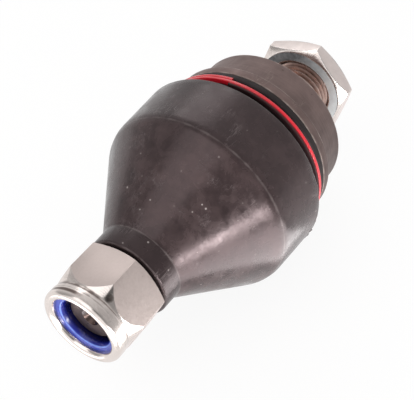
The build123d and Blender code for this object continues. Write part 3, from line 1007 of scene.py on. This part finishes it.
class BALLJOINT_OT_jam_nut(bpy.types.Operator):
    """Thin hexagon nut on the shank, chamfered and countersunk on both faces"""
    bl_idname = "ball_joint.jam_nut"
    bl_label = "Jam nut"

    def execute(self, context):
        settings = context.scene.ball_joint_nuts
        beyond = JAM_NUT_FLATS / math.sqrt(3) + 0.5
        fall = (beyond - JAM_FACE_RADIUS) * math.tan(math.radians(30))
        blank = turned("jam_blank", [
            (JAM_FRONT, 8.85), (JAM_FRONT, JAM_FACE_RADIUS), (JAM_FRONT + fall, beyond),
            (JAM_BACK - fall, beyond), (JAM_BACK, JAM_FACE_RADIUS), (JAM_BACK, 8.85),
            (JAM_BACK - 0.8, 8.05), (JAM_FRONT + 0.8, 8.05),
        ], sides=144)
        nut = hexagon_bar("jam_nut_shell", JAM_NUT_FLATS, JAM_FRONT - 0.8, JAM_BACK + 0.8, -15.4)
        cut_with(nut, blank, "INTERSECT")
        names = ("Zinc, drawn flats", "Zinc, turned", "Zinc, rubbed edge")
        dress(nut, *(bpy.data.materials[name] for name in names), zinc_face_finish())
        for face in nut.data.polygons:
            bored = math.hypot(face.center.y, face.center.z) < 8.9 * MM
            across = abs(face.normal.x)
            side = TURNED if bored or across > 0.2 else FLAT
            face.material_index = PRESSED_FACE if across > 0.95 else side
        break_edges(nut, settings.edge, BROKEN_EDGE)
        smooth(nut, 28)
        place_on(nut, "jam_nut", "zinc_plate", "jam_nut")
        return {"FINISHED"}


class BALLJOINT_OT_inner_pieces(bpy.types.Operator):
    """Finishes of the bearing stack inside the housing and the bush in the boot's neck"""
    bl_idname = "ball_joint.inner_pieces"
    bl_label = "Inner pieces"

    def execute(self, context):
        spring = inner_finish("Oiled spring steel", tone(112, 110, 112), 1.0, 0.25, 0.4)
        seat = inner_finish("Greased seat plastic", tone(226, 222, 206), 0.0, 0.3, 0.5)
        bush = inner_finish("Black bush plastic", tone(52, 50, 53), 0.0, 0.35, 0.55)
        finishes = {
            "disc_spring": spring, "pressure_plate": spring, "closing_ring": spring, "circlip": spring,
            "lower_seat": seat, "upper_seat": seat, "lip_bush": bush,
        }
        for node, finish in finishes.items():
            dress(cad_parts[node], finish)
        return {"FINISHED"}


class BALLJOINT_OT_stage(bpy.types.Operator):
    """Pale floor, soft lamps, white room and the camera"""
    bl_idname = "ball_joint.stage"
    bl_label = "Stage"

    def execute(self, context):
        settings = context.scene.ball_joint_stage
        self.make_floor(settings)
        self.make_room(settings)
        self.make_lamps()
        self.make_camera(settings)
        context.scene.view_settings.view_transform = "Standard"
        return {"FINISHED"}

    def make_floor(self, settings):
        clear_selection()
        lowest = CAD_BOX[0][2]
        bpy.ops.mesh.primitive_plane_add(size=6.0, location=(0, 0, lowest))
        floor = bpy.context.object
        floor.name = "floor"
        bpy.ops.object.transform_apply(location=True)
        recipe = Finish("Floor paper", Base_Color=(*settings.paper, 1), Roughness=0.9)
        glow = recipe.add("ShaderNodeEmission", {"Color": (1, 1, 1, 1), "Strength": 1.03})
        path = recipe.add("ShaderNodeLightPath")
        seen = recipe.most(
            path.outputs["Is Camera Ray"],
            recipe.most(path.outputs["Is Glossy Ray"], path.outputs["Is Transmission Ray"]))
        shaders = {1: recipe.shader.outputs[0], 2: glow.outputs[0]}
        mix = recipe.add("ShaderNodeMixShader", {0: recipe.times(seen, 0.88), **shaders})
        recipe.feed(recipe.find("OUTPUT_MATERIAL"), {"Surface": mix.outputs[0]})
        dress(floor, recipe.material)

    def make_room(self, settings):
        """A white tent, brighter at both ends, with one dim spot high up on the stud's side."""
        world = bpy.data.worlds.new("Light tent")
        bpy.context.scene.world = world
        world.use_nodes = True
        recipe = Recipe(world.node_tree)
        path = recipe.add("ShaderNodeLightPath")
        way = recipe.add("ShaderNodeTexCoord").outputs["Generated"]
        parts = recipe.split(way)
        along = recipe.spread(parts["X"], -0.45, 0.5, 0.36, 0.8)
        across = recipe.spread(parts["Y"], -0.75, 0.3, 0.72, 1.03)
        open_end = recipe.spread(parts["X"], -0.58, -0.72, 0.3, 1.1)
        tent = recipe.most(recipe.times(along, across), open_end)
        spot = recipe.vector("DOT_PRODUCT", way, Vector((-0.343, -0.433, 0.833)).normalized())
        dim = recipe.spread(spot, 0.986, 0.996, 1.0, 0.12)
        plain = recipe.times(recipe.times(tent, dim), settings.sky)
        strength = recipe.most(plain, path.outputs["Is Camera Ray"])
        recipe.feed(recipe.find("BACKGROUND"), {"Color": (1, 1, 1, 1), "Strength": strength})

    def make_lamps(self):
        """Two boxes overhead and a low window that face the joint, and the bright table under it."""
        joint = Vector((-0.035, 0, 0))
        lamps = (
            ("far_box", (0.40, 0.34, 0.46), (0.35, 0.35), 0.5),
            ("near_box", (-0.36, 0.10, 0.48), (0.48, 0.48), 0.82),
            ("low_window", (-0.25, -0.363, 0.0), (0.2, 0.05), 0.9),
            ("table_window", (-0.185, -0.25, TABLE_TOP), (0.08, 0.09), 0.9),
            ("table_glow", (-0.043, -0.076, TABLE_TOP), (0.07, 0.085), 0.08),
            ("table_left", (-0.130, -0.010, TABLE_TOP), (0.06, 0.11), 0.08),
        )
        for name, place, size, power in lamps:
            light = bpy.data.lights.new(name, "AREA")
            light.energy = power
            light.shape = "RECTANGLE"
            light.size, light.size_y = size
            lamp = bpy.data.objects.new(name, light)
            bpy.context.scene.collection.objects.link(lamp)
            lamp.location = place
            ahead = Vector((0, 0, 1)) if place[2] == TABLE_TOP else joint - lamp.location
            lamp.rotation_euler = ahead.to_track_quat("-Z", "Y").to_euler()
            lamp.visible_camera = False

    def make_camera(self, settings):
        lens = bpy.data.cameras.new("camera")
        lens.lens = settings.focal
        lens.sensor_width = 36
        lens.sensor_fit = "HORIZONTAL"
        lens.clip_start = 0.01
        camera = bpy.data.objects.new("camera", lens)
        bpy.context.scene.collection.objects.link(camera)
        camera.location = (-0.143635, -0.075036, 0.138918)
        ahead = Vector((0.58419, 0.37892, -0.71774))
        camera.rotation_euler = ahead.to_track_quat("-Z", "Y").to_euler()
        bpy.context.scene.camera = camera


class BALLJOINT_PT_pieces(bpy.types.Panel):
    """Lists the pieces of the ball joint and their settings"""
    bl_idname = "BALLJOINT_PT_pieces"
    bl_label = "Ball joint"
    bl_space_type = "VIEW_3D"
    bl_region_type = "UI"
    bl_category = "Ball joint"

    def draw(self, context):
        layout = self.layout
        for operator, group in PIECES:
            box = layout.box()
            box.operator(operator.bl_idname)
            if group is not None:
                settings = getattr(context.scene, group)
                for key in settings.bl_rna.properties.keys():
                    if key not in {"rna_type", "name"}:
                        box.prop(settings, key)


PIECES = (
    (BALLJOINT_OT_dust_boot, "ball_joint_boot"),
    (BALLJOINT_OT_boot_ring, "ball_joint_ring"),
    (BALLJOINT_OT_housing, "ball_joint_housing"),
    (BALLJOINT_OT_ball_stud, "ball_joint_stud"),
    (BALLJOINT_OT_lock_nut, "ball_joint_nuts"),
    (BALLJOINT_OT_jam_nut, None),
    (BALLJOINT_OT_inner_pieces, None),
    (BALLJOINT_OT_stage, "ball_joint_stage"),
)
GROUPS = (
    ("ball_joint_boot", BootSettings),
    ("ball_joint_ring", RingSettings),
    ("ball_joint_housing", HousingSettings),
    ("ball_joint_stud", StudSettings),
    ("ball_joint_nuts", NutSettings),
    ("ball_joint_stage", StageSettings),
)


def register():
    for name, group in GROUPS:
        bpy.utils.register_class(group)
        setattr(bpy.types.Scene, name, PointerProperty(type=group))
    for operator, _ in PIECES:
        bpy.utils.register_class(operator)
    bpy.utils.register_class(BALLJOINT_PT_pieces)


def unregister():
    bpy.utils.unregister_class(BALLJOINT_PT_pieces)
    for operator, _ in reversed(PIECES):
        bpy.utils.unregister_class(operator)
    for name, group in reversed(GROUPS):
        delattr(bpy.types.Scene, name)
        bpy.utils.unregister_class(group)


def main():
    register()
    bpy.ops.ball_joint.dust_boot()
    bpy.ops.ball_joint.boot_ring()
    bpy.ops.ball_joint.housing()
    bpy.ops.ball_joint.ball_stud()
    bpy.ops.ball_joint.lock_nut()
    bpy.ops.ball_joint.jam_nut()
    bpy.ops.ball_joint.inner_pieces()
    bpy.ops.ball_joint.stage()


if __name__ == "__main__":
    main()
